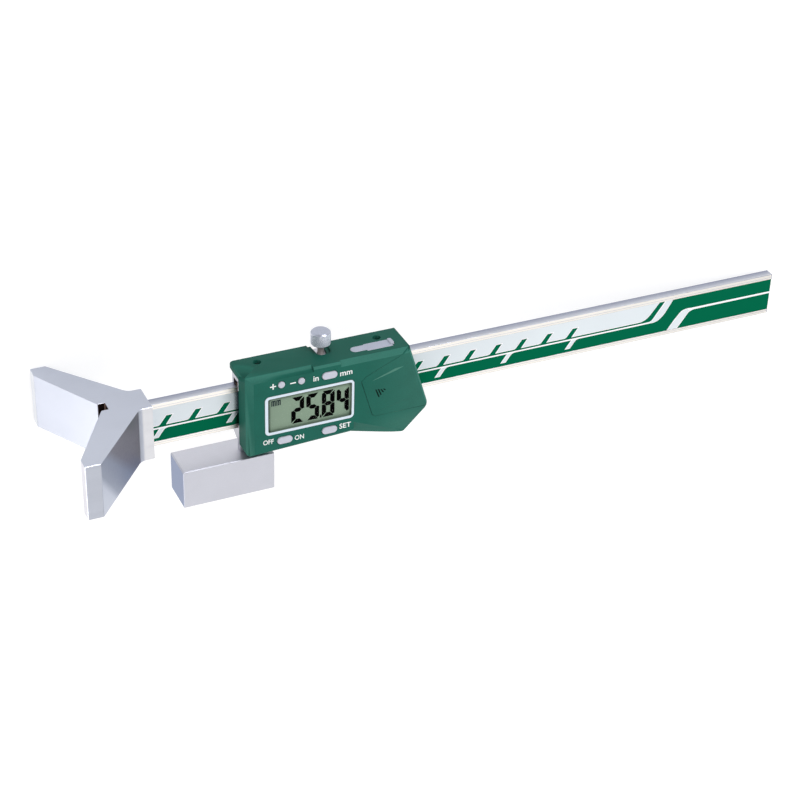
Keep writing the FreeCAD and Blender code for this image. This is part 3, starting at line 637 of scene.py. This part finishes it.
# ------------------------------------------------------------------ eased mouldings and steel
def housing_ease(p, a, b):
    if abs(a.x - b.x) < 0.4 and p.x < 33.4 and p.z > 6.2 and abs(a.y - b.y) > 5:
        return 0.75
    if p.z > 8.85 and p.x > 34.2 and -18.9 < p.y < 4.7:
        return 0.1
    if p.x > 69.5 and -18.2 < p.y < 6.3 and p.z > 7.0:
        return 0.08
    if p.x > 82.0 and p.y > 3.9:
        return 0.1
    if p.y > 6.2 and 55.0 < p.x < 67.0 and p.z < 6.0:
        return 0.12
    if p.y > 5.0 and p.x > 68.5 and 0.7 < p.z < 5.8 and p.x < 86.2:
        return 0.08
    for gx in (37.95, 80.8):
        if p.y > 5.3 and math.hypot(p.x - gx, p.z + 1.6) < 1.8:
            return 0.12
    if p.y < 6.9 and p.z < 0.7:
        return 0.1
    return 0.34


soften("front_housing", "green_plastic", housing_ease, seg=3)
soften("battery_door", "green_plastic", lambda p, a, b: 0.04 if p.z > 8.5 and 75.5 < p.x < 80.4 and -10.2 < p.y < -6.0 else 0.12, angle=14.0)
soften("port_cover", "port_plastic", lambda p, a, b: 0.12)
soften("lcd_bezel", "bezel_plastic", lambda p, a, b: 0.2 if p.z > 8.9 else 0.05, seg=3)
soften("slider_frame", "frame_steel", lambda p, a, b: 0.12)
soften("beam", "beam_steel", lambda p, a, b: 0.1)


# ------------------------------------------------------------------ lock screw, knurled
def lock_screw():
    cx, cz = 60.65, -1.75
    around = 208
    prof = [(0.0, 1.02), (0.9, 1.02), (1.2, 1.4), (1.2, 5.3), (1.08, 5.5), (1.08, 8.3), (1.2, 8.55), (1.5, 8.75),
            (2.62, 8.8), (2.82, 8.86), (3.02, 8.98), (3.2, 9.15), (3.34, 9.3), (3.38, 9.38)]
    rows = 34
    for i in range(rows + 1):
        prof.append((None, 9.45 + (13.3 - 9.45) * i / rows))
    prof += [(3.39, 13.38), (3.35, 13.46), (2.86, 13.93), (2.78, 13.98), (2.7, 14.0), (0.0, 14.0)]
    bm = bmesh.new()
    rings = []
    for r, y in prof:
        if r == 0.0:
            rings.append([bm.verts.new(row(cx, y, cz))])
            continue
        ring = []
        for k in range(around):
            t = 2 * math.pi * k / around
            if r is None:
                a = 26 * t
                b = (y - 9.45) * 7.2
                tri = lambda v: abs((v / math.pi) % 2 - 1)
                cut = max(tri(a + b), tri(a - b))
                fade = min(1, (y - 9.4) / 0.25, (13.35 - y) / 0.25)
                rr = 3.415 - 0.12 * max(0.0, cut - 0.45) / 0.55 * max(fade, 0)
            else:
                rr = r
            ring.append(bm.verts.new(row(cx + rr * math.cos(t), y, cz + rr * math.sin(t))))
        rings.append(ring)
    for a, b in zip(rings, rings[1:]):
        for k in range(around):
            j = (k + 1) % around
            if len(a) == 1:
                bm.faces.new([a[0], b[k], b[j]])
            elif len(b) == 1:
                bm.faces.new([a[k], b[0], a[j]])
            else:
                bm.faces.new([a[k], b[k], b[j], a[j]])
    bm.verts.ensure_lookup_table()
    for f in bm.faces:
        if max(own(v.co).y for v in f.verts) < 8.79:
            f.material_index = 1
        # the knurled band takes the lit copy of the steel, a painted highlight
        elif min(own(v.co).y for v in f.verts) > 9.2 and max(own(v.co).y for v in f.verts) < 13.5:
            f.material_index = 2
    o = new_piece("lock_screw_knurled", bm, "knurl_steel", "lock", smooth=True)
    o.data.materials.append(mats["neck_steel"].m)
    o.data.materials.append(mats["knurl_lit"].m)
    o.data.set_sharp_from_angle(angle=math.radians(34))
    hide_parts("lock_screw")


lock_screw()

# ------------------------------------------------------------------ the printed scale
FIELD = (0.24, 237.95, -14.36, -1.95)
Z_FILM = -0.08


def tick(k):
    x = 10.0 * k
    return [(2.75 + x, -8.63), (3.25 + x, -8.5), (3.62 + x, -8.2), (4.1 + x, -7.55), (5.85 + x, -5.2), (7.95 + x, -5.2), (5.55 + x, -8.63)]


line = [(0.24, -8.63)]
for k in range(16):
    line += tick(k)
line += [(182.7, -8.63), (183.7, -8.56), (184.6, -8.37), (185.6, -7.95), (186.5, -7.3), (187.5, -6.25), (190.9, -1.95),
         (193.1, -1.95), (189.9, -6.44), (188.7, -8.24), (188.1, -8.85), (187.2, -9.2), (182.8, -9.25), (0.24, -9.25)]

band = [(0.24, -9.85)]
for k in range(7):
    x = 25.4 * k
    band += [(3.15 + x, -9.85), (0.8 + x, -13.2), (2.9 + x, -13.2), (4.6 + x, -10.8), (5.05 + x, -10.3), (5.6 + x, -9.98), (6.4 + x, -9.85)]
band += [(189.2, -9.87), (190.3, -9.6), (191.2, -9.15), (191.9, -8.6), (192.8, -7.75), (193.6, -6.75), (196.5, -1.95), (237.9, -1.95), (237.9, -7.0),
         (204.8, -6.95), (203.4, -6.86), (202.3, -6.9), (201.0, -7.2), (200.3, -7.6), (199.8, -8.08), (197.55, -10.78), (195.0, -14.36), (0.24, -14.36)]
lower = [(199.4, -14.36), (202.04, -10.79), (203.4, -8.85), (203.8, -8.48), (204.3, -8.2), (205.1, -7.94), (206.0, -7.8), (237.9, -7.75), (237.9, -14.36)]

bm = bmesh.new()
for poly in (line, band, lower):
    plate(bm, grown(poly, 0.27, FIELD), Z_FILM - 0.004, Z_FILM + 0.008)
plate(bm, [(0.24, -9.86), (0.24, -9.24), (187.2, -9.19), (187.2, -9.86)], Z_FILM - 0.004, Z_FILM + 0.0075)
plate(bm, [(202.9, -6.9), (204.8, -6.94), (237.9, -6.99), (237.9, -7.76), (206.0, -7.81), (204.6, -7.9), (203.5, -7.6)], Z_FILM - 0.004, Z_FILM + 0.0072)
new_piece("scale_rims", bm, "film_white", "base")

bm = bmesh.new()
for poly in (line, band, lower):
    plate(bm, poly, Z_FILM - 0.004, Z_FILM + 0.018)
new_piece("scale_green", bm, "film_green", "base")

# the ground lands along the beam's front, with the fine lines between them and the sunk field
bm = bmesh.new()
for y0, y1 in ((-0.12, -1.12), (-1.26, -1.88), (-14.44, -14.98), (-15.12, -15.9)):
    plate(bm, [(0.3, y1), (237.8, y1), (237.8, y0), (0.3, y0)], -0.01, 0.004)
new_piece("beam_lands", bm, "land_steel", "base")

# ------------------------------------------------------------------ the display's digits
Z_LCD = 8.152
DIGITS = {"2": "abged", "5": "afgcd", "8": "abcdefg", "4": "fgbc"}


def segments(x0, y1, w, h, t, lit):
    """Seven segments of a digit whose box is x0..x0+w, y1-h..y1."""
    g = 0.1
    x1, y0, ym = x0 + w, y1 - h, y1 - h / 2
    c = t / 2
    shapes = {
        "a": [(x0 + g + 0.25, y1), (x1 - g - 0.25, y1), (x1 - t - g, y1 - t), (x0 + t + g, y1 - t)],
        "d": [(x0 + t + g, y0 + t), (x1 - t - g, y0 + t), (x1 - g - 0.25, y0), (x0 + g + 0.25, y0)],
        "b": [(x1, y1 - g - 0.25), (x1, ym + c * 0.3), (x1 - c, ym + g * 0.7), (x1 - t, ym + c + g), (x1 - t, y1 - t - g)],
        "c": [(x1 - c, ym - g * 0.7), (x1, ym - c * 0.3), (x1, y0 + 0.95), (x1 - t * 0.42, y0 + g + 0.38), (x1 - t, y0 + t + g), (x1 - t, ym - c - g)],
        "f": [(x0, y1 - 0.95), (x0 + t * 0.5, y1 - g - 0.45), (x0 + t, y1 - t - g), (x0 + t, ym + c + g), (x0 + c, ym + g * 0.7), (x0, ym + c * 0.3)],
        "e": [(x0 + c, ym - g * 0.7), (x0 + t, ym - c - g), (x0 + t, y0 + t + g), (x0, y0 + g + 0.25), (x0, ym - c * 0.3)],
        "g": [(x0 + c + g, ym), (x0 + t + g * 0.6, ym + c), (x1 - t - g * 0.6, ym + c), (x1 - c - g, ym), (x1 - t - g * 0.6, ym - c), (x0 + t + g * 0.6, ym - c)],
    }
    return [shapes[s] for s in lit]


bm = bmesh.new()
for ch, x0 in (("2", 46.2), ("5", 51.55), ("8", 57.1), ("4", 62.45)):
    w = 4.6 if ch != "4" else 4.4
    for poly in segments(x0, -3.25, w, 10.2, 1.6, DIGITS[ch]):
        plate(bm, poly, Z_LCD, Z_LCD + 0.012)
plate(bm, [(56.3, -13.42), (57.08, -13.42), (56.86, -12.25), (56.56, -12.25)], Z_LCD, Z_LCD + 0.012)
new_piece("lcd_digits", bm, "lcd_ink", "slider")


# ------------------------------------------------------------------ lettering
def lettering(name, items, z, thick, material, body, squeeze=1.0):
    """Flat letters: (text, centre x, centre y, capital height) in own millimetres."""
    bm = bmesh.new()
    for k, (text, x, y, high) in enumerate(items):
        cu = bpy.data.curves.new(f"{name}_{k}", "FONT")
        cu.body = text
        cu.size = 1.0
        cu.extrude = 0.0
        cu.offset = 0.012
        cu.resolution_u = 4
        tmp = bpy.data.objects.new(f"{name}_{k}", cu)
        bpy.context.scene.collection.objects.link(tmp)
        bpy.context.view_layer.update()
        dg = bpy.context.evaluated_depsgraph_get()
        me = bpy.data.meshes.new_from_object(tmp.evaluated_get(dg))
        b2 = bmesh.new()
        b2.from_mesh(me)
        bmesh.ops.remove_doubles(b2, verts=b2.verts, dist=1e-5)
        xs = [v.co.x for v in b2.verts]
        ys = [v.co.y for v in b2.verts]
        s = high / 0.73
        cx, cy = (min(xs) + max(xs)) / 2, (min(ys) + max(ys)) / 2
        faces = list(b2.faces)
        ex = bmesh.ops.extrude_face_region(b2, geom=faces)
        top = {v for v in ex["geom"] if isinstance(v, bmesh.types.BMVert)}
        for v in b2.verts:
            zz = z + (thick if v in top else 0.0)
            v.co = row(x + (v.co.x - cx) * s * squeeze, y + (v.co.y - cy) * s, zz)
        bmesh.ops.recalc_face_normals(b2, faces=b2.faces)
        flat = bpy.data.meshes.new("tmp")
        b2.to_mesh(flat)
        b2.free()
        bm.from_mesh(flat)
        bpy.data.meshes.remove(flat)
        bpy.data.meshes.remove(me)
        bpy.data.objects.remove(tmp)
        bpy.data.curves.remove(cu)
    return new_piece(name, bm, material, body)


letters = lettering("key_labels", [
    ("in", 54.66, 2.87, 2.2), ("mm", 65.44, 2.46, 2.2), ("SET", 65.29, -18.04, 2.0),
], 8.998, 0.02, "ink_white", "slider")
lettering("power_labels", [("OFF", 37.75, -18.05, 1.85), ("ON", 48.75, -18.68, 1.85)], 8.998, 0.02, "ink_white", "slider", 0.86)
bm = bmesh.new()
for x0, x1, y0, y1 in ((38.5, 40.6, 2.93, 3.37), (39.33, 39.77, 2.1, 4.2), (45.55, 47.55, 2.76, 3.2)):
    plate(bm, [(x0, y0), (x1, y0), (x1, y1), (x0, y1)], 8.998, 9.018)
new_piece("plus_minus_signs", bm, "ink_white", "slider")
bm = bmesh.new()
for x0 in (39.2, 40.95):
    plate(bm, [(x0, -2.95), (x0 + 1.55, -2.95), (x0 + 1.55, -3.35), (x0, -3.35)], Z_LCD, Z_LCD + 0.012)
    for dx in (0.0, 0.58, 1.16):
        plate(bm, [(x0 + dx, -3.35), (x0 + dx + 0.39, -3.35), (x0 + dx + 0.39, -5.05), (x0 + dx, -5.05)], Z_LCD, Z_LCD + 0.011)
new_piece("lcd_unit", bm, "lcd_faint", "slider")

# painted shade: dark green plates laid in the arrow's grooves stand for the shadow inside them
bm = bmesh.new()
for (x0, y0), (x1, y1) in (((76.25, -6.41), (77.54, -9.75)), ((77.18, -6.43), (78.18, -8.99)), ((78.12, -6.65), (79.0, -8.07)), ((79.06, -6.67), (79.73, -7.43))):
    plate(bm, [(x0 - 0.25, y0 - 0.02), (x0 + 0.25, y0 - 0.02), (x1 + 0.25, y1 + 0.02), (x1 - 0.25, y1 + 0.02)], 8.645, 8.86)
new_piece("arrow_groove_shade", bm, "groove_shade", "door")

# ------------------------------------------------------------------ floor, light
floor_m = Mat("floor")
fl = floor_m.noise(floor_m.spread((1, 1, 1), False), 3.0, 2.0)
floor_m.colour(floor_m.ramp(fl, [(0.3, (0.5, 0.5, 0.5, 1)), (0.7, (0.52, 0.52, 0.52, 1))]))
floor_m.put("Roughness", 0.9)
floor_m.put("Specular IOR Level", 0.1)
floor_m.put("Emission Color", (1, 1, 1, 1))
floor_m.put("Emission Strength", 0.6)
bm = bmesh.new()
v = [bm.verts.new(p) for p in ((-4, -4, 0), (4, -4, 0), (4, 4, 0), (-4, 4, 0))]
bm.faces.new(v)
me = bpy.data.meshes.new("floor")
bm.to_mesh(me)
bm.free()
floor = bpy.data.objects.new("floor", me)
bpy.context.scene.collection.objects.link(floor)
me.materials.append(floor_m.m)

scene = bpy.context.scene
world = bpy.data.worlds.new("studio")
scene.world = world
world.use_nodes = True
wt = world.node_tree
bg = wt.nodes["Background"]
tc = wt.nodes.new("ShaderNodeTexCoord")
sep = wt.nodes.new("ShaderNodeSeparateXYZ")
rp = wt.nodes.new("ShaderNodeValToRGB")
mr = wt.nodes.new("ShaderNodeMapRange")
mr.inputs["From Min"].default_value = -1
mr.inputs["From Max"].default_value = 1
wt.links.new(tc.outputs["Generated"], sep.inputs[0])
wt.links.new(sep.outputs["Z"], mr.inputs["Value"])
wt.links.new(mr.outputs["Result"], rp.inputs["Fac"])
wt.links.new(rp.outputs["Color"], bg.inputs["Color"])
rp.color_ramp.elements[0].position = 0.45
rp.color_ramp.elements[0].color = (1.0, 0.99, 0.97, 1)
rp.color_ramp.elements[1].position = 1.0
rp.color_ramp.elements[1].color = (0.9, 0.9, 0.92, 1)
bg.inputs["Strength"].default_value = 0.74


def softbox(name, at, aim, size, power, colour=(1, 1, 1)):
    li = bpy.data.lights.new(name, "AREA")
    li.shape = "RECTANGLE"
    li.size, li.size_y = size
    li.energy = power
    li.color = colour
    o = bpy.data.objects.new(name, li)
    scene.collection.objects.link(o)
    o.location = at
    o.rotation_mode = "QUATERNION"
    o.rotation_quaternion = (Vector(aim) - Vector(at)).to_track_quat("-Z", "Y")
    return o


softbox("key", (0.33, -0.62, 0.88), (-0.05, 0, 0.03), (0.9, 0.7), 2.0, (1.0, 0.97, 0.93))
softbox("left_front", (-0.85, -0.5, 0.26), (-0.1, 0, 0.03), (0.7, 0.5), 4.2, (1.0, 0.96, 0.91))
softbox("behind", (0.42, 0.92, 0.62), (0, 0, 0.03), (0.5, 0.25), 6.0)
softbox("right", (1.05, -0.25, 0.42), (0, 0, 0.03), (0.5, 0.4), 1.6)

scene.view_settings.view_transform = "Standard"
scene.view_settings.look = "None"
scene.view_settings.exposure = 0.0
scene.view_settings.gamma = 1.0
